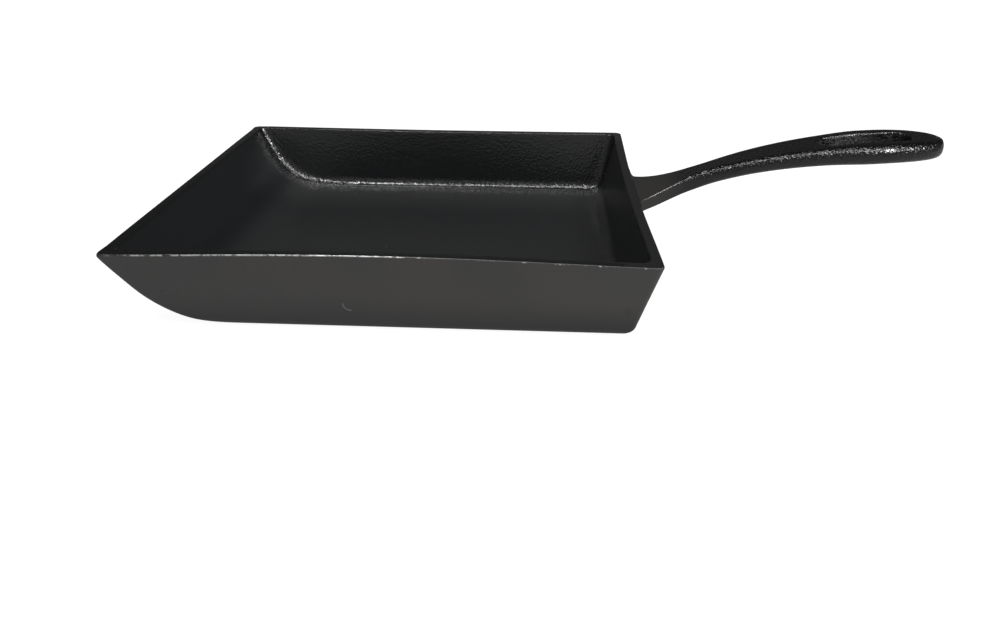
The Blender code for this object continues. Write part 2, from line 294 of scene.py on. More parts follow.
class Shell:
    """One skin of the tray, as plan outlines at rising heights."""

    def __init__(self, flat, inset, edge_radius, ramp_radius, rear_corner, front_corner):
        self.flat = flat
        self.inset = inset
        self.edge_radius = edge_radius
        self.ramp_radius = ramp_radius
        self.rear_corner = rear_corner
        self.front_corner = front_corner

    def wall_set_back(self, height, draft):
        slope = HALF_PI - draft
        full = travel(TRAY_HEIGHT - self.flat, self.edge_radius, slope)
        here = travel(height - self.flat, self.edge_radius, slope)
        return self.inset / math.cos(draft) + full - here

    def ramp_set_back(self, height):
        full = travel(TRAY_HEIGHT - self.flat, self.ramp_radius, RAMP_ANGLE)
        here = travel(height - self.flat, self.ramp_radius, RAMP_ANGLE)
        return self.flat / math.sin(RAMP_ANGLE) + full - here

    def heights(self):
        turns = np.linspace(0, HALF_PI - SIDE_DRAFT, EDGE_STEPS + 1)
        edge = self.edge_radius * (1 - np.cos(turns))
        ramp_top = self.ramp_radius * (1 - math.cos(RAMP_ANGLE))
        ramp = np.linspace(edge[-1], ramp_top, RAMP_STEPS + 1)[1:]
        wall = np.linspace(ramp_top, TRAY_HEIGHT - self.flat, WALL_STEPS + 1)[1:]
        return self.flat + np.concatenate([edge, ramp, wall])

    def outline(self, height):
        """The plan outline at a height, counter-clockwise from the front left."""
        front = -HALF_LENGTH + self.ramp_set_back(height)
        rear = HALF_LENGTH - self.wall_set_back(height, REAR_DRAFT)
        half = HALF_WIDTH - self.wall_set_back(height, SIDE_DRAFT)
        rise = min(height - self.flat, self.ramp_radius)
        slope = min(math.acos(1 - rise / self.ramp_radius), RAMP_ANGLE)
        share = (height - self.flat) / (TRAY_HEIGHT - self.flat)
        low_radius, high_radius = self.front_corner
        front_y = low_radius + (high_radius - low_radius) * share
        front_x = front_y / math.sin(max(slope, LEAST_CORNER_SLOPE))
        rear_r = self.rear_corner
        corners = (
            (front + front_x, half - front_y, front_x, front_y, HALF_PI, END_STEPS),
            (front + front_x, front_y - half, front_x, front_y, math.pi, SIDE_STEPS),
            (rear - rear_r, rear_r - half, rear_r, rear_r, 3 * HALF_PI, END_STEPS),
            (rear - rear_r, half - rear_r, rear_r, rear_r, 0.0, SIDE_STEPS),
        )
        turn = np.linspace(0, HALF_PI, CORNER_STEPS + 1)
        arcs = [
            np.stack([x + a * np.cos(start + turn), y + b * np.sin(start + turn)], axis=1)
            for x, y, a, b, start, _ in corners
        ]
        plan = []
        for i, (arc, corner) in enumerate(zip(arcs, corners)):
            after = arcs[(i + 1) % 4][0]
            share = np.linspace(0, 1, corner[5] + 1)[1:-1, None]
            plan += [arc, arc[-1] + (after - arc[-1]) * share]
        plan = np.concatenate(plan)
        return drawn_in(np.column_stack([plan, np.full(len(plan), height)]))

    def rings(self):
        return [self.outline(height) for height in self.heights()]

    def fillet_marks(self):
        """For each ring's points, 1 on the fillets and creases and 0 on the flats."""
        rings = []
        for i in range(len(self.heights())):
            low = np.clip((i / EDGE_STEPS - FILLET_START) / FILLET_RISE, 0, 1)
            low *= np.clip((FILLET_END - i / EDGE_STEPS) / FILLET_FALL, 0, 1)
            sides = ((END_STEPS, 0), (SIDE_STEPS, low), (END_STEPS, low), (SIDE_STEPS, low))
            marks = []
            for steps, fillet in sides:
                k = np.arange(1, steps)
                near = np.maximum(1 - np.minimum(k, steps - k) / CREASE_STEPS, 0)
                marks += [np.ones(CORNER_STEPS + 1), np.maximum(near, fillet)]
            rings.append(np.concatenate(marks) * min(i / FILLET_FLOOR_RINGS, 1.0))
        return rings


def outer_shell():
    return Shell(0.0, 0.0, BASE_EDGE_RADIUS, RAMP_RADIUS, REAR_CORNER_RADIUS,
                 FRONT_CORNER_RADII)


def inner_shell():
    return Shell(FLOOR_THICKNESS, WALL_THICKNESS, FLOOR_FILLET, RAMP_RADIUS - FLOOR_THICKNESS,
                 INNER_CORNER_RADIUS, CREASE_RADII)


def unit(vectors):
    return vectors / np.linalg.norm(vectors, axis=1, keepdims=True)


def rounded_top(below, top, beside, radius):
    """Rings that round the edge between a wall and the rim's flat."""
    down = unit(below - top)
    inward = unit(beside - top)
    half_angle = np.arccos(np.sum(down * inward, axis=1)) / 2
    reach = (radius / np.tan(half_angle))[:, None]
    middle = top + unit(down + inward) * (radius / np.sin(half_angle))[:, None]
    first = top + down * reach - middle
    last = top + inward * reach - middle
    rings = []
    for share in np.linspace(0, 1, RIM_STEPS + 1):
        rings.append(middle + unit(first + (last - first) * share) * radius[:, None])
    return rings


def outer_edge_radius(points):
    """The lip is rounder than the rest of the rim, but less so at its corners."""
    near, far = LIP_FADE
    behind = points[:, 0] + HALF_LENGTH
    frontness = smooth_step((far - behind) / (far - near))
    from_side = HALF_WIDTH - abs(points[:, 1])
    cornerness = smooth_step((LIP_CORNER_REACH - from_side) / LIP_CORNER_FADE)
    lip = LIP_EDGE_RADIUS + (LIP_CORNER_EDGE_RADIUS - LIP_EDGE_RADIUS) * cornerness
    return RIM_EDGE_RADIUS + (lip - RIM_EDGE_RADIUS) * frontness


def shrinking_rings(ring, steps):
    """Rings that fill a flat outline towards its middle line."""
    middle = np.array([ring[:, 0].mean(), 0.0, ring[0, 2]])
    reach = (ring[:, 0].max() - ring[:, 0].min()) / 2 - abs(ring[:, 1]).max()
    core = np.stack([
        middle[0] + np.clip(ring[:, 0] - middle[0], -reach, reach),
        np.zeros(len(ring)),
        ring[:, 2],
    ], axis=1)
    shares = np.linspace(0, CORE_SHARE, steps + 1)[1:]
    return [ring + (core - ring) * share for share in shares]


def build_tray():
    outer = outer_shell().rings()
    inner = inner_shell().rings()
    outer_top = rounded_top(outer[-2], outer[-1], inner[-1], outer_edge_radius(outer[-1]))
    inner_radius = np.full(len(inner[-1]), RIM_EDGE_RADIUS)
    inner_top = rounded_top(inner[-2], inner[-1], outer[-1], inner_radius)
    base = shrinking_rings(outer[0], BASE_STEPS)[::-1]
    floor = shrinking_rings(inner[0], FLOOR_STEPS)
    across = inner_top[-1] - outer_top[-1]
    flat = [outer_top[-1] + across * share for share in FLAT_SHARES]
    bell = np.sin(np.linspace(0, math.pi, RIM_STEPS + 1))
    fillets = inner_shell().fillet_marks()
    # Rings from the base's middle round the rim to the floor's middle, and their
    # inside, outer_arris, rim and fillet marks
    groups = (
        (base, 0.0, 0.0, 0.0, 0.0),
        (outer[:-1], 0.0, 0.0, 0.0, 0.0),
        (outer_top, np.linspace(0, 1, RIM_STEPS + 1), bell, 1.0, 0.0),
        (flat, 1.0, 0.0, 1.0, 0.0),
        (inner_top[::-1], 1.0, 0.0, 1.0, 0.0),
        (inner[-2::-1], 1.0, 0.0, 0.0, fillets[-2::-1]),
        (floor, 1.0, 0.0, 0.0, 0.0),
    )
    rings = []
    values = {"inside": [], "outer_arris": [], "rim": [], "fillet": []}
    for group, *numbers in groups:
        rings += group
        for name, number in zip(values, numbers):
            values[name] += list(spread(number, group))
    return mesh_from_rings("pan_tray", rings, values=values)


def rear_face(y, z):
    """The X of the rear wall's outer face at each point."""
    flat_x = [HALF_LENGTH - outer_shell().wall_set_back(height, REAR_DRAFT) for height in z]
    return drawn_in(np.stack([flat_x, y, z], axis=1))[:, 0]


# Handle


class Arch:
    """The handle's middle line, as one cubic curve in the XZ plane."""

    def __init__(self):
        root = np.array([HALF_LENGTH, TRAY_HEIGHT - ROOT_DROP])
        end = np.array([HALF_LENGTH + HANDLE_LENGTH, TRAY_HEIGHT + HANDLE_RISE])
        leave = np.array([math.cos(ROOT_ANGLE), math.sin(ROOT_ANGLE)])
        arrive = np.array([math.cos(END_ANGLE), math.sin(END_ANGLE)])
        a, b, c, d = root, root + leave * ROOT_PULL, end - arrive * END_PULL, end
        t = np.linspace(0, 1, ARCH_SAMPLES)[:, None]
        s = 1 - t
        self.line = a * s**3 + b * 3 * s * s * t + c * 3 * s * t * t + d * t**3
        self.slope = (b - a) * s * s + (c - b) * 2 * s * t + (d - c) * t * t

    def height(self, distance):
        return np.interp(HALF_LENGTH + distance, self.line[:, 0], self.line[:, 1])

    def angle(self, distance):
        angles = np.arctan2(self.slope[:, 1], self.slope[:, 0])
        return np.interp(HALF_LENGTH + distance, self.line[:, 0], angles)


def fillet_growth(distance, fillet):
    """How much a fillet adds at a distance behind the rim."""
    reach, size = fillet
    share = 1 - (distance - ROOT_PLACE) / reach
    if share <= 0:
        return 0.0
    return size * (1 - math.sqrt(max(1 - share * share, 0.0)))


def end_taper(distance):
    share = min(max((distance - GRIP_PLACE) / (HANDLE_LENGTH - GRIP_PLACE), 0.0), 1.0)
    return (1 - share**END_FULLNESS) ** (1 / END_FULLNESS)


def root_flare(distance):
    """Half of what the root's trumpet adds to the handle's width."""
    share = np.maximum(1 - (distance - ROOT_PLACE) / (ROOT_REACH - ROOT_PLACE), 0.0)
    return (ROOT_WIDTH - NECK_WIDTH) / 2 * share**FLARE_POWER


def half_handle_width(distance):
    width = through(distance, HANDLE_WIDTHS) / 2 + float(root_flare(distance))
    return width * end_taper(distance) + fillet_growth(distance, SIDE_FILLET)


def handle_top(distance):
    return through(distance, HANDLE_TOPS) * end_taper(distance) ** TOP_FALL


def handle_underside(distance):
    return through(distance, HANDLE_UNDERSIDES) * end_taper(distance) ** UNDERSIDE_FALL


def section_outline(half_width, top, under, radius):
    """A rounded rectangle as (across, rise), with points along its flats too.

    The underside is given as a height, which is below zero.
    """
    turn = np.linspace(0, HALF_PI, SECTION_ARC_STEPS + 1)
    centres = (
        (half_width - radius, top - radius, 0.0, SECTION_FLAT_STEPS),
        (radius - half_width, top - radius, HALF_PI, SECTION_SIDE_STEPS),
        (radius - half_width, under + radius, math.pi, SECTION_FLAT_STEPS),
        (half_width - radius, under + radius, 3 * HALF_PI, SECTION_SIDE_STEPS),
    )
    arcs = [
        np.stack([y + radius * np.cos(start + turn), z + radius * np.sin(start + turn)], axis=1)
        for y, z, start, _ in centres
    ]
    pieces = []
    for i, (arc, centre) in enumerate(zip(arcs, centres)):
        after = arcs[(i + 1) % 4][0]
        share = np.linspace(0, 1, centre[3] + 1)[1:-1, None]
        pieces += [arc, arc[-1] + (after - arc[-1]) * share]
    return np.concatenate(pieces)


def roundness_at(distance):
    """0 where the handle's section is square, and 1 where it is round."""
    return smooth_step((distance - SQUARE_UNTIL) / (ROUND_FROM - SQUARE_UNTIL))


def handle_ring(arch, distance):
    """One closed section: it hugs the rear wall at the root, and then stands across the arch."""
    tilt = float(arch.angle(distance))
    half_width = half_handle_width(distance)
    top = handle_top(distance)
    under = handle_underside(distance)
    roundness = float(roundness_at(distance))
    radius = ARRIS_RADIUS + (MOST_ROUND * top - ARRIS_RADIUS) * roundness
    radius = min(radius, MOST_ROUND * top, MOST_ROUND * half_width)
    top += fillet_growth(distance, TOP_FILLET)
    under += fillet_growth(distance, UNDER_FILLET)
    across, rise = section_outline(half_width, top, -under, radius).T
    x = HALF_LENGTH + distance - math.sin(tilt) * rise
    z = float(arch.height(distance)) + math.cos(tilt) * rise
    behind_wall = distance - ROOT_PLACE
    hug = 1 - float(smooth_step(behind_wall / ROOT_BLEND))
    x += (rear_face(across, z) + behind_wall - x) * hug
    widening = root_flare(x - HALF_LENGTH) - root_flare(distance)
    y = across * (1 + widening / half_width)
    return np.stack([x, y, z], axis=1)


def arris_marks(distance):
    """Marks one section's upper edges, as far as they are sharp."""
    bell = np.sin(np.linspace(0, math.pi, SECTION_ARC_STEPS + 1))
    flat = np.zeros(SECTION_FLAT_STEPS - 1)
    side = np.zeros(SECTION_SIDE_STEPS - 1)
    lower = np.zeros(2 * len(bell) + len(flat) + len(side))
    return np.concatenate([bell, flat, bell, side, lower]) * (1 - roundness_at(distance))


def handle_stations():
    turns = np.linspace(0, HALF_PI, ROOT_STEPS + 1)
    root = ROOT_PLACE + SIDE_FILLET[0] * (1 - np.cos(turns))
    arch = np.linspace(root[-1], GRIP_PLACE, ARCH_STEPS + 1)[1:]
    tip = np.sin(np.linspace(0, TIP_TURN, TIP_STEPS + 1))[1:]
    return np.concatenate([root, arch, GRIP_PLACE + (HANDLE_LENGTH - GRIP_PLACE) * tip])


def slot_plan(grow):
    """The slot's plan outline as (distance, y), pushed outwards by grow."""
    front, rear = SLOT_FRONT_PLACE, SLOT_REAR_PLACE
    front_radius = half_handle_width(front) - SLOT_BAR_WIDTH
    rear_radius = half_handle_width(rear) - SLOT_BAR_WIDTH
    lean = math.asin((rear_radius - front_radius) / (rear - front))
    ends = (
        (rear, rear_radius + grow, -HALF_PI - lean, HALF_PI + lean, SLOT_REAR_STEPS),
        (front, front_radius + grow, HALF_PI + lean, 3 * HALF_PI - lean, SLOT_FRONT_STEPS),
    )
    arcs = []
    for place, radius, start, stop, steps in ends:
        turns = np.linspace(start, stop, steps + 1)
        arcs.append(np.stack([place + radius * np.cos(turns), radius * np.sin(turns)], axis=1))
    back, fore = arcs
    share = np.linspace(0, 1, SLOT_SIDE_STEPS + 1)[1:-1, None]
    return np.concatenate([
        back, back[-1] + (fore[0] - back[-1]) * share,
        fore, fore[-1] + (back[0] - fore[-1]) * share,
    ])


def slot_cutter(arch):
    """A plug for the slot that flares along a quarter round at both faces."""
    rings = []
    turns = np.linspace(0, SLOT_TURN, SLOT_ROUNDING_STEPS + 1)
    steps = [(SLOT_ROUNDING * math.sin(turn), SLOT_ROUNDING * (1 - math.cos(turn)))
             for turn in turns]
    last_rise, last_grow = steps[-1]
    exit_grow = last_grow + SLOT_EXIT_WIDTH * SLOT_ROUNDING
    for height in (SLOT_EXIT_RISE, SLOT_EXIT_HEIGHT):
        steps.append((last_rise + height * SLOT_ROUNDING, exit_grow))
    levels = [(-1, rise, grow) for rise, grow in reversed(steps)]
    levels += [(1, rise, grow) for rise, grow in steps]
    for side, rise, grow in levels:
        plan = slot_plan(grow)
        ring = []
        for distance, y in plan:
            half = handle_top(distance) if side > 0 else handle_underside(distance)
            level = side * (half - SLOT_ROUNDING + rise)
            ring.append((HALF_LENGTH + distance, y, float(arch.height(distance)) + level))
        rings.append(np.array(ring))
    return mesh_from_rings("slot_cutter", rings)


def apply_cut(placed, cutter):
    """Cut the slot, and mend the seams that the cut leaves in the mesh."""
    cut = placed.modifiers.new("hanging slot", "BOOLEAN")
    cut.operation = "DIFFERENCE"
    cut.solver = "EXACT"
    cut.object = cutter
    evaluated = placed.evaluated_get(bpy.context.evaluated_depsgraph_get())
    mesh = bpy.data.meshes.new_from_object(evaluated)
    placed.modifiers.clear()
    work = bmesh.new()
    work.from_mesh(mesh)
    bmesh.ops.remove_doubles(work, verts=work.verts, dist=MERGE_DISTANCE)
    bmesh.ops.dissolve_degenerate(work, dist=MERGE_DISTANCE, edges=work.edges)
    many_sided = [face for face in work.faces if len(face.verts) > 4]
    bmesh.ops.triangulate(work, faces=many_sided, ngon_method="BEAUTY")
    work.to_mesh(mesh)
    work.free()
    placed.data = mesh
    mesh.name = placed.name
    bpy.data.objects.remove(cutter, do_unlink=True)


def build_handle():
    arch = Arch()
    stations = handle_stations()
    rings = [handle_ring(arch, distance) for distance in stations]
    rings[0][:, 0] -= ROOT_SINK
    arris = [arris_marks(distance) for distance in stations]
    placed = mesh_from_rings("pan_handle", rings, values={"arris": arris})
    apply_cut(placed, slot_cutter(arch))
    return placed


# Materials


def gray(value, warmth=0.0):
    """A grey of some brightness, redder and less blue as warmth grows."""
    return (value * (1 + warmth), value, value * (1 - warmth), 1.0)


# Tones of the tray's outside: its two blotches, painted shade towards the lip's end, painted
# light towards the rear end, painted shade at the foot, and the iron around the root. The
# ends' tones reach this share
OUTSIDE_TONES = (gray(0.040, 0.03), gray(0.049, 0.09))
LIP_END_SHADE_TONE = gray(0.030)
REAR_END_LIGHT_TONE = gray(0.072, 0.05)
FOOT_SHADE_TONE = gray(0.015, 0.01)
ROOT_TONE = gray(0.022, 0.05)
END_SHARE = 0.5

# Tones of the tray's inside, painted light and shade for the most part: the floor, painted
# lighter from near to far as a painted reflection, the walls, the far wall with its fillet and
# the rim, painted darker as painted shade, and the pale specks
FLOOR_LIGHT_TONES = (gray(0.018, -0.04), gray(0.033, -0.02))
WALL_SHADE_TONE = gray(0.011, -0.08)
FAR_WALL_SHADE_TONE = gray(0.0075, -0.08)
RIM_SHADE_TONE = gray(0.007, -0.04)
SPECK_TONE = gray(0.10)

# Tones of the handle: the arm and grip, its worn arris, brightened so that it also stands in for
# a highlight, a painted highlight spot on the grip, the slot's wall with painted glints and the
# slot's rear end
HANDLE_TONE = gray(0.003, -0.02)
WORN_AND_GLINT_TONE = gray(0.13, 0.02)
GLINT_SPOT_TONE = gray(0.5)
SLOT_GLINT_TONES = (gray(0.012), gray(0.11))
SLOT_END_TONE = gray(0.010)

# Where the tray's tones and finishes change, along X, Y or Z
LIP_END_SPAN = (-30 * MM, -80 * MM)
REAR_END_SPAN = (20 * MM, 85 * MM)
FOOT_SPAN = (18 * MM, 2 * MM)
FLOOR_SPAN = (26 * MM, 58 * MM)
FAR_FOOT_SPAN = (57.5 * MM, 60.5 * MM)
FAR_WALL_SPAN = (57 * MM, 60 * MM)
RAISED_SPAN = (6 * MM, 11 * MM)
REAR_WALL_SPAN = (79 * MM, 81.5 * MM)
REAR_WALL_SIDE = (60 * MM, 56 * MM)

# Around this place the tray has the root's tone, which fades out to full between
# these distances from it
ROOT_MIDDLE = (91 * MM, 0.0, 27 * MM)
ROOT_FADE = (40 * MM, 21 * MM)

# Where the handle's finishes change, as distances behind the rear rim
PEBBLED_SPAN = (8 * MM, 20 * MM)
WORN_SPAN = (0.0, 1.5 * MM)
SLOT_END_SPAN = (82 * MM, 94 * MM)

# The slot's walls, where glints are painted, and the painted highlight spot on the grip:
# the place, each axis's stretch, and between which distances from the place they fade in
SLOT_WALLS = ((HALF_LENGTH + 86 * MM, 0.0, 0.0), (0.34, 1.0, 0.0), (6.2 * MM, 5.6 * MM))
GLINT_SPOT = ((184.2 * MM, -11.8 * MM, 51.75 * MM), (0.3, 1.0, 1.0), (0.75 * MM, 0.4 * MM))

# The scratch on the near wall is part of a ring: its middle and radius, between which
# distances from the ring it fades in, between which values of X + Z it does too, how
# much of it shows, and its tone
HOOK_PLACE = (-10.7 * MM, -66.8 * MM, 11.4 * MM)
HOOK_RADIUS = 2.3 * MM
HOOK_FADE = (0.5 * MM, 0.1 * MM)
HOOK_CUT = (-0.6 * MM, -1.4 * MM)
HOOK_SHARE = 0.7
HOOK_TONE = gray(0.20)

# A smudge, a pock and a brown patch on the near wall: the place, each axis's stretch,
# the fade, how much of it shows, and its tone
STAINS = (
    ((82.8 * MM, -67.5 * MM, 12.0 * MM), (1.0, 0.3, 0.55), (1.9 * MM, 0.3 * MM), 0.5,
     gray(0.016, 0.02)),
    ((-74.0 * MM, -68.4 * MM, 15.9 * MM), (1.0, 1.0, 1.0), (0.9 * MM, 0.2 * MM), 1.0,
     gray(0.018)),
    ((-42.0 * MM, -69.7 * MM, 25.0 * MM), (0.5, 1.0, 1.0), (7 * MM, 1 * MM), 1.0,
     gray(0.042, 0.16)),
)

# Patterns: the size of their blotches or the spacing of their specks, and between
# which values of the pattern a mark fades in. Worn arrises, which also stand in for highlights,
# have a rougher pattern, and the handle's show between these marks
BLOTCH_SIZE = 26 * MM
BLOTCH_FADE = (0.35, 0.65)
SPECK_SPACING = 11 * MM
SPECK_FADE = (0.032, 0.018)
SPECKLE_SIZE = 0.7 * MM
SPECKLE_FADE = (0.42, 0.62)
WORN_SIZE = 2.2 * MM
WORN_FADE = (0.28, 0.44)
WORN_ARRIS = (0.6, 1.0)
WORN_NOISE_ROUGHNESS = 0.7

# Bare metal along the rim's outer arris, which is wear and also a painted highlight: its tone,
# its pattern's size, the pattern's value where it fades in at the rear and at the lip, and over
# how much more it is full
BARE_AND_GLINT_TONE = gray(0.92)
BARE_SIZE = 2.0 * MM
BARE_STARTS = (0.54, 0.40)
BARE_SOFTNESS = 0.16

# It also fades in between these marks of the arris and these places along X, and it
# changes from rear to lip between the last two
BARE_ARRIS = (0.78, 1.0)
BARE_SPAN = (-90 * MM, -76 * MM)
BARE_GROWTH = (25 * MM, -15 * MM)

# Roughness: smooth iron outside and at the root, the inside's flats, its rear wall and
# bare metal. Fillets and grip are polished in patches: their size, and the roughness
# of a dull and a bright one
OUTSIDE_ROUGHNESS = 0.5
ROOT_ROUGHNESS = 0.4
FLAT_ROUGHNESS = 0.2
REAR_WALL_ROUGHNESS = 0.42
BARE_ROUGHNESS = 0.28
FILLET_POLISH = (1.1 * MM, 0.36, 0.09)
GRIP_POLISH = (0.9 * MM, 0.34, 0.12)
POLISH_FADE = (0.40, 0.60)
POLISH_OFFSET = 0.3
TRAY_IOR = 1.7
HANDLE_IOR = 1.58

# Grain: the size and depth of its pebbles, how smooth they are, how much finer noise
# lies on them, and how strongly the grain shows
TRAY_GRAIN = (1.0 * MM, 0.30 * MM)
HANDLE_GRAIN = (0.85 * MM, 0.27 * MM)
PEBBLE_SMOOTHNESS = 0.8
FINE_GRAIN_SHARE = 0.15
OUTSIDE_GRAIN = 0.08
FLAT_GRAIN = 0.25
FILLET_GRAIN = 0.76
REAR_WALL_GRAIN = 0.12
ROOT_GRAIN = 0.1
GRIP_GRAIN = 1.0


class Nodes:
    """Short names for building a node tree, with places in the named coordinates."""

    def __init__(self, tree, coordinates="Object"):
        self.tree = tree
        self.coordinates = coordinates

    def link(self, source, target):
        self.tree.links.new(source, target)

    def put(self, socket, value):
        """Give a socket a number or colour, or link it to another socket."""
        if isinstance(value, bpy.types.NodeSocket):
            self.link(value, socket)
        else:
            socket.default_value = value

    def place(self):
        return self.tree.nodes.new("ShaderNodeTexCoord").outputs[self.coordinates]

    def attribute(self, name):
        node = self.tree.nodes.new("ShaderNodeAttribute")
        node.attribute_name = name
        return node.outputs["Fac"]

    def ray(self, kind):
        """1 for rays of a kind, such as those from the camera, and 0 for others."""
        return self.tree.nodes.new("ShaderNodeLightPath").outputs[kind]

    def along(self, axis):
        """A place's X, Y or Z, in metres on an object."""
        node = self.tree.nodes.new("ShaderNodeSeparateXYZ")
        self.link(self.place(), node.inputs[0])
        return node.outputs[axis]

    def vector_math(self, operation, first, second=None):
        node = self.tree.nodes.new("ShaderNodeVectorMath")
        node.operation = operation
        self.link(first, node.inputs[0])
        if second is not None:
            node.inputs[1].default_value = second
        return node.outputs["Value" if operation == "LENGTH" else "Vector"]

    def away(self, place, stretch=(1.0, 1.0, 1.0)):
        """How far a point is from a place, with each axis stretched."""
        offset = self.vector_math("SUBTRACT", self.place(), place)
        return self.vector_math("LENGTH", self.vector_math("MULTIPLY", offset, stretch))

    def noise(self, size, detail, roughness=0.5, offset=0.0):
        """Noise whose blotches are about size across, in metres."""
        mapping = self.tree.nodes.new("ShaderNodeMapping")
        mapping.inputs["Location"].default_value = (offset, offset, offset)
        self.link(self.place(), mapping.inputs["Vector"])
        node = self.tree.nodes.new("ShaderNodeTexNoise")
        node.inputs["Scale"].default_value = 1 / size
        node.inputs["Detail"].default_value = detail
        node.inputs["Roughness"].default_value = roughness
        self.link(mapping.outputs["Vector"], node.inputs["Vector"])
        return node.outputs["Fac"]

    def cells(self, size, smoothness=None):
        """Distance to the nearest of scattered points that are about size apart."""
        node = self.tree.nodes.new("ShaderNodeTexVoronoi")
        node.inputs["Scale"].default_value = 1 / size
        if smoothness is not None:
            node.feature = "SMOOTH_F1"
            node.inputs["Smoothness"].default_value = smoothness
        self.link(self.place(), node.inputs["Vector"])
        return node.outputs["Distance"]

    def math(self, operation, first, second=0.0, third=0.0):
        node = self.tree.nodes.new("ShaderNodeMath")
        node.operation = operation
        for socket, value in zip(node.inputs, (first, second, third)):
            self.put(socket, value)
        return node.outputs["Value"]

    def ramp(self, value, start, end, low=0.0, high=1.0):
        """A smooth change from low to high as value goes from start to end."""
        node = self.tree.nodes.new("ShaderNodeMapRange")
        node.interpolation_type = "SMOOTHSTEP"
        self.put(node.inputs["Value"], value)
        self.put(node.inputs["From Min"], start)
        self.put(node.inputs["From Max"], end)
        self.put(node.inputs["To Min"], low)
        self.put(node.inputs["To Max"], high)
        return node.outputs["Result"]

    def across(self, axis, start, end, low=0.0, high=1.0):
        """A smooth change from low to high between two places along an axis."""
        return self.ramp(self.along(axis), start, end, low, high)

    def mix(self, factor, first, second):
        """From one colour to another, which this node has at inputs 6 and 7."""
        node = self.tree.nodes.new("ShaderNodeMix")
        node.data_type = "RGBA"
        self.put(node.inputs["Factor"], factor)
        self.put(node.inputs[6], first)
        self.put(node.inputs[7], second)
        return node.outputs[2]

    def blend(self, factor, first, second):
        """From one number to another, which this node has at inputs 2 and 3."""
        node = self.tree.nodes.new("ShaderNodeMix")
        self.put(node.inputs["Factor"], factor)
        self.put(node.inputs[2], first)
        self.put(node.inputs[3], second)
        return node.outputs[0]

    def bump(self, height, distance, strength):
        node = self.tree.nodes.new("ShaderNodeBump")
        node.inputs["Distance"].default_value = distance
        self.put(node.inputs["Strength"], strength)
        self.link(height, node.inputs["Height"])
        return node.outputs["Normal"]


def new_material(name):
    """A material, its shader's sockets and its nodes."""
    material = bpy.data.materials.new(name)
    material.use_nodes = True
    tree = material.node_tree
    return material, tree.nodes["Principled BSDF"].inputs, Nodes(tree)


def grain(nodes, size_and_depth, strength):
    """The pebbled skin of sand-cast iron, as a normal."""
    size, depth = size_and_depth
    pebbles = nodes.cells(size, smoothness=PEBBLE_SMOOTHNESS)
    fine = nodes.noise(size / 2, detail=1.0)
    height = nodes.math("ADD", pebbles, nodes.math("MULTIPLY", fine, FINE_GRAIN_SHARE))
    return nodes.bump(height, depth, strength)


def polish(nodes, size, dull, bright):
    """Roughness that changes from pebble to pebble, so that some of them sparkle."""
    patches = nodes.noise(size, detail=1.0, offset=POLISH_OFFSET)
    return nodes.blend(nodes.ramp(patches, *POLISH_FADE), dull, bright)


def near(nodes, place, stretch, fade):
    """1 at a place and 0 away from it."""
    return nodes.ramp(nodes.away(place, stretch), *fade)


def stained(nodes, color):
    """The near wall's scratch like a hook, and its stains."""
    ring = nodes.math("SUBTRACT", nodes.away(HOOK_PLACE), HOOK_RADIUS)
    line = nodes.ramp(nodes.math("ABSOLUTE", ring), *HOOK_FADE)
    slant = nodes.math("ADD", nodes.along("X"), nodes.along("Z"))
    line = nodes.math("MULTIPLY", line, nodes.ramp(slant, *HOOK_CUT))
    color = nodes.mix(nodes.math("MULTIPLY", line, HOOK_SHARE), color, HOOK_TONE)
    for place, stretch, fade, share, tone in STAINS:
        stain = near(nodes, place, stretch, fade)
        color = nodes.mix(nodes.math("MULTIPLY", stain, share), color, tone)
    return color


def outside_color(nodes, near_root):
    """Smooth grey iron with faint warm blotches, painted shade at its foot and towards the lip's
    end, and painted light towards its rear end.
    """
    blotch = nodes.ramp(nodes.noise(BLOTCH_SIZE, detail=3.0), *BLOTCH_FADE)
    color = nodes.mix(blotch, *OUTSIDE_TONES)
    # Painted shade towards the lip's end and painted light towards the rear end
    color = nodes.mix(nodes.across("X", *LIP_END_SPAN, 0.0, END_SHARE), color, LIP_END_SHADE_TONE)
    color = nodes.mix(nodes.across("X", *REAR_END_SPAN, 0.0, END_SHARE), color, REAR_END_LIGHT_TONE)
    # Painted shade at the wall's foot, darker towards the bottom
    color = nodes.mix(nodes.across("Z", *FOOT_SPAN), color, FOOT_SHADE_TONE)
    return nodes.mix(near_root, stained(nodes, color), ROOT_TONE)


def inside_color(nodes):
    """Black seasoned iron with painted light and shade: a floor painted lighter towards the far
    wall, painted shade on the walls, the far fillet and the rim, and a few pale specks.
    """
    # Painted light on the floor, growing towards the far wall as a painted reflection, and
    # painted shade on the far fillet, the walls and the rim
    floor = nodes.mix(nodes.across("Y", *FLOOR_SPAN), *FLOOR_LIGHT_TONES)
    floor = nodes.mix(nodes.across("Y", *FAR_FOOT_SPAN), floor, FAR_WALL_SHADE_TONE)
    walls = nodes.mix(nodes.across("Y", *FAR_WALL_SPAN), WALL_SHADE_TONE, FAR_WALL_SHADE_TONE)
    color = nodes.mix(nodes.across("Z", *RAISED_SPAN), floor, walls)
    speck = nodes.ramp(nodes.cells(SPECK_SPACING), *SPECK_FADE)
    color = nodes.mix(speck, color, SPECK_TONE)
    return nodes.mix(nodes.attribute("rim"), color, RIM_SHADE_TONE)


def bare_and_glinting_arris(nodes):
    """1 where the rim's outer arris is worn to bright metal that also stands in for a painted
    highlight, in more places by the lip.
    """
    broken = nodes.noise(BARE_SIZE, detail=4.0, roughness=WORN_NOISE_ROUGHNESS)
    start = nodes.blend(nodes.across("X", *BARE_GROWTH), *BARE_STARTS)
    worn_glint = nodes.ramp(broken, start, nodes.math("ADD", start, BARE_SOFTNESS))
    edge = nodes.ramp(nodes.attribute("outer_arris"), *BARE_ARRIS)
    edge = nodes.math("MULTIPLY", edge, nodes.across("X", *BARE_SPAN))
    return nodes.math("MULTIPLY", edge, worn_glint)


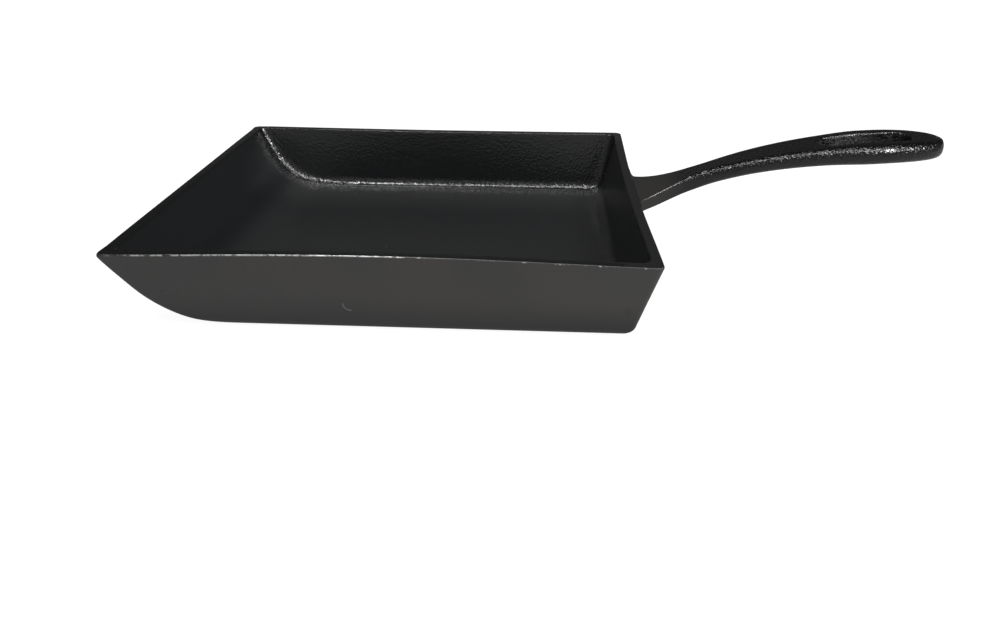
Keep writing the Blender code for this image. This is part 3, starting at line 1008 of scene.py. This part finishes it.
def tray_iron():
    """Warm smooth grey outside, and near black inside with pebbled fillets."""
    material, shader, nodes = new_material("tray_iron")
    inside = nodes.attribute("inside")
    fillet = nodes.attribute("fillet")
    near_root = nodes.ramp(nodes.away(ROOT_MIDDLE), *ROOT_FADE)
    rear_wall = nodes.math(
        "MULTIPLY", nodes.across("X", *REAR_WALL_SPAN), nodes.across("Y", *REAR_WALL_SIDE)
    )
    bare_glint = bare_and_glinting_arris(nodes)

    color = nodes.mix(inside, outside_color(nodes, near_root), inside_color(nodes))
    # Bare metal on the arris: wear, made bright so that it also stands in for a painted
    # highlight
    nodes.link(nodes.mix(bare_glint, color, BARE_AND_GLINT_TONE), shader["Base Color"])
    nodes.link(bare_glint, shader["Metallic"])

    skin = nodes.blend(fillet, FLAT_ROUGHNESS, polish(nodes, *FILLET_POLISH))
    skin = nodes.blend(rear_wall, skin, REAR_WALL_ROUGHNESS)
    outside = nodes.blend(near_root, OUTSIDE_ROUGHNESS, ROOT_ROUGHNESS)
    roughness = nodes.blend(inside, outside, skin)
    nodes.link(nodes.blend(bare_glint, roughness, BARE_ROUGHNESS), shader["Roughness"])
    shader["IOR"].default_value = TRAY_IOR

    strength = nodes.blend(fillet, FLAT_GRAIN, FILLET_GRAIN)
    strength = nodes.blend(rear_wall, strength, REAR_WALL_GRAIN)
    strength = nodes.blend(inside, OUTSIDE_GRAIN, strength)
    nodes.link(grain(nodes, TRAY_GRAIN, strength), shader["Normal"])
    return material


def slot_color(nodes, behind):
    """The slot's wall: painted lighter with speckled painted glints in front, and plain dark at
    its rear end.
    """
    # Pale speckle painted on the wall to stand in for the pebbles' glints
    speckle = nodes.ramp(nodes.noise(SPECKLE_SIZE, detail=1.0), *SPECKLE_FADE)
    color = nodes.mix(speckle, *SLOT_GLINT_TONES)
    return nodes.mix(nodes.ramp(behind, *SLOT_END_SPAN), color, SLOT_END_TONE)


def handle_iron():
    """A smooth grey root that turns into a black pebbled arm and grip."""
    material, shader, nodes = new_material("handle_iron")
    behind = nodes.math("SUBTRACT", nodes.along("X"), HALF_LENGTH)
    pebbled = nodes.ramp(behind, *PEBBLED_SPAN)

    # The worn arris: wear, made bright so that it also stands in for a painted highlight line
    broken = nodes.noise(WORN_SIZE, detail=4.0, roughness=WORN_NOISE_ROUGHNESS)
    edge = nodes.ramp(nodes.attribute("arris"), *WORN_ARRIS)
    worn_glint = nodes.math("MULTIPLY", edge, nodes.ramp(broken, *WORN_FADE))
    worn_glint = nodes.math("MULTIPLY", worn_glint, nodes.ramp(behind, *WORN_SPAN))
    # A painted highlight: a spot of bright metal where the grip's highlight is brightest
    glint_spot = near(nodes, *GLINT_SPOT)

    color = nodes.mix(pebbled, ROOT_TONE, HANDLE_TONE)
    color = nodes.mix(worn_glint, color, WORN_AND_GLINT_TONE)
    color = nodes.mix(near(nodes, *SLOT_WALLS), color, slot_color(nodes, behind))
    color = nodes.mix(glint_spot, color, GLINT_SPOT_TONE)
    nodes.link(color, shader["Base Color"])
    nodes.link(nodes.math("MAXIMUM", worn_glint, glint_spot), shader["Metallic"])

    roughness = nodes.blend(pebbled, ROOT_ROUGHNESS, polish(nodes, *GRIP_POLISH))
    nodes.link(roughness, shader["Roughness"])
    shader["IOR"].default_value = HANDLE_IOR
    strength = nodes.blend(pebbled, ROOT_GRAIN, GRIP_GRAIN)
    nodes.link(grain(nodes, HANDLE_GRAIN, strength), shader["Normal"])
    return material


# Studio

FLOOR_REACH = 4.0
FLOOR_GAP = 0.0002
FLOOR_TONE = gray(0.2)
FLOOR_ROUGHNESS = 0.9
FLOOR_SPECULAR = 0.1
WHITE = gray(1.0)

# How brightly the floor glows for the camera, and in the iron's gloss
FLOOR_GLOW = 0.95
FLOOR_IN_GLOSS = 0.3

# The world's light by direction: the axis, two values along it, and the light there.
# The light behind the pan is scaled low down and to the left
BACK_LIGHT = ("X", 0.4, 0.0, 0.025, 0.055)
LOW_SCALE = ("Z", 0.42, 0.3, 1.0, 2.4)
LEFT_SCALE = ("X", -0.25, -0.5, 1.0, 0.35)
FRONT_LIGHT = ("Y", 0.2, -0.7, 0.0, 0.22)

# The lamps, all level rectangles but the last: name, place, turn in degrees, length
# and width, and power in watts
LAMPS = (
    ("overhead_left", (-0.30, -0.13, 0.95), (0, 0, 0), (0.41, 0.07), 3.4),
    ("overhead_right", (0.125, -0.11, 0.95), (0, 0, 0), (0.44, 0.07), 1.1),
    ("corner", (0.15, -0.20, 0.95), (0, 0, 90), (0.20, 0.07), 0.4),
    ("right_near", (0.31, -0.37, 0.95), (0, 0, -34), (0.36, 0.12), 1.5),
    ("right_far", (0.77, -0.69, 0.95), (0, 0, -30), (0.67, 0.12), 7.4),
    ("spark", (0.73, -0.75, 0.94), (0, 0, -30), (0.12, 0.12), 2.5),
    ("tip", (1.36, -0.93, 0.88), (0, 30, -15), (0.50, 0.15), 3.0),
)


def add_floor():
    """A floor that is white to the camera and dimmer in the iron's gloss."""
    reach = FLOOR_REACH
    corners = [(-reach, -reach, 0), (reach, -reach, 0), (reach, reach, 0), (-reach, reach, 0)]
    mesh = bpy.data.meshes.new("floor")
    mesh.from_pydata(corners, [], [(0, 1, 2, 3)])
    floor = bpy.data.objects.new("floor", mesh)
    bpy.context.scene.collection.objects.link(floor)
    floor.location.z = -FLOOR_GAP
    material, shader, nodes = new_material("floor_white")
    shader["Base Color"].default_value = FLOOR_TONE
    shader["Roughness"].default_value = FLOOR_ROUGHNESS
    shader["Specular IOR Level"].default_value = FLOOR_SPECULAR
    mirrored = nodes.math(
        "MAXIMUM", nodes.ray("Is Glossy Ray"), nodes.ray("Is Transmission Ray")
    )
    mirrored = nodes.math("MULTIPLY", mirrored, FLOOR_IN_GLOSS)
    glow = nodes.math("MULTIPLY_ADD", nodes.ray("Is Camera Ray"), FLOOR_GLOW, mirrored)
    shader["Emission Color"].default_value = WHITE
    nodes.link(glow, shader["Emission Strength"])
    mesh.materials.append(material)


def add_lamps():
    for name, place, turn, (length, width), power in LAMPS:
        lamp = bpy.data.lights.new(name, "AREA")
        lamp.shape = "RECTANGLE"
        lamp.size = length
        lamp.size_y = width
        lamp.energy = power
        placed = bpy.data.objects.new(name, lamp)
        placed.location = place
        placed.rotation_euler = [math.radians(angle) for angle in turn]
        bpy.context.scene.collection.objects.link(placed)


def add_world():
    """Dim behind the pan and brighter in front of it, but white to the camera."""
    world = bpy.data.worlds.new("studio")
    bpy.context.scene.world = world
    world.use_nodes = True
    nodes = Nodes(world.node_tree, "Generated")
    back = nodes.across(*BACK_LIGHT)
    for scale in (LOW_SCALE, LEFT_SCALE):
        back = nodes.math("MULTIPLY", back, nodes.across(*scale))
    light = nodes.math("ADD", back, nodes.across(*FRONT_LIGHT))
    background = world.node_tree.nodes["Background"].inputs
    background["Color"].default_value = WHITE
    nodes.link(nodes.math("MAXIMUM", light, nodes.ray("Is Camera Ray")), background["Strength"])


def add_camera():
    """The photograph's camera: its yaw, pitch and roll, and a shift to its optical centre."""
    camera = bpy.data.cameras.new("camera")
    camera.sensor_fit = "HORIZONTAL"
    camera.sensor_width = SENSOR_WIDTH
    camera.lens = FOCAL_PIXELS / IMAGE_WIDTH * SENSOR_WIDTH
    camera.shift_x = (IMAGE_WIDTH / 2 - OPTICAL_CENTRE[0]) / IMAGE_WIDTH
    camera.shift_y = (OPTICAL_CENTRE[1] - IMAGE_HEIGHT / 2) / IMAGE_WIDTH
    camera.clip_start = 0.01
    placed = bpy.data.objects.new("camera", camera)
    bpy.context.scene.collection.objects.link(placed)
    ahead = Vector((
        math.sin(CAMERA_YAW) * math.cos(CAMERA_PITCH),
        math.cos(CAMERA_YAW) * math.cos(CAMERA_PITCH),
        -math.sin(CAMERA_PITCH),
    ))
    level = Vector((math.cos(CAMERA_YAW), -math.sin(CAMERA_YAW), 0.0))
    down = ahead.cross(level)
    right = math.cos(CAMERA_ROLL) * level + math.sin(CAMERA_ROLL) * down
    below = math.cos(CAMERA_ROLL) * down - math.sin(CAMERA_ROLL) * level
    turn = Matrix((right, -below, -ahead)).transposed()
    placed.matrix_world = Matrix.Translation(CAMERA_PLACE) @ turn.to_4x4()
    bpy.context.scene.camera = placed


# Make everything

tray = build_tray()
shade(tray)
tray.data.materials.append(tray_iron())
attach(tray, "root")
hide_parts("pan_body")

handle = build_handle()
shade(handle)
handle.data.materials.clear()
handle.data.materials.append(handle_iron())
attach(handle, "root")
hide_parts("handle")

add_floor()
add_lamps()
add_world()
add_camera()
bpy.context.scene.view_settings.view_transform = "Standard"
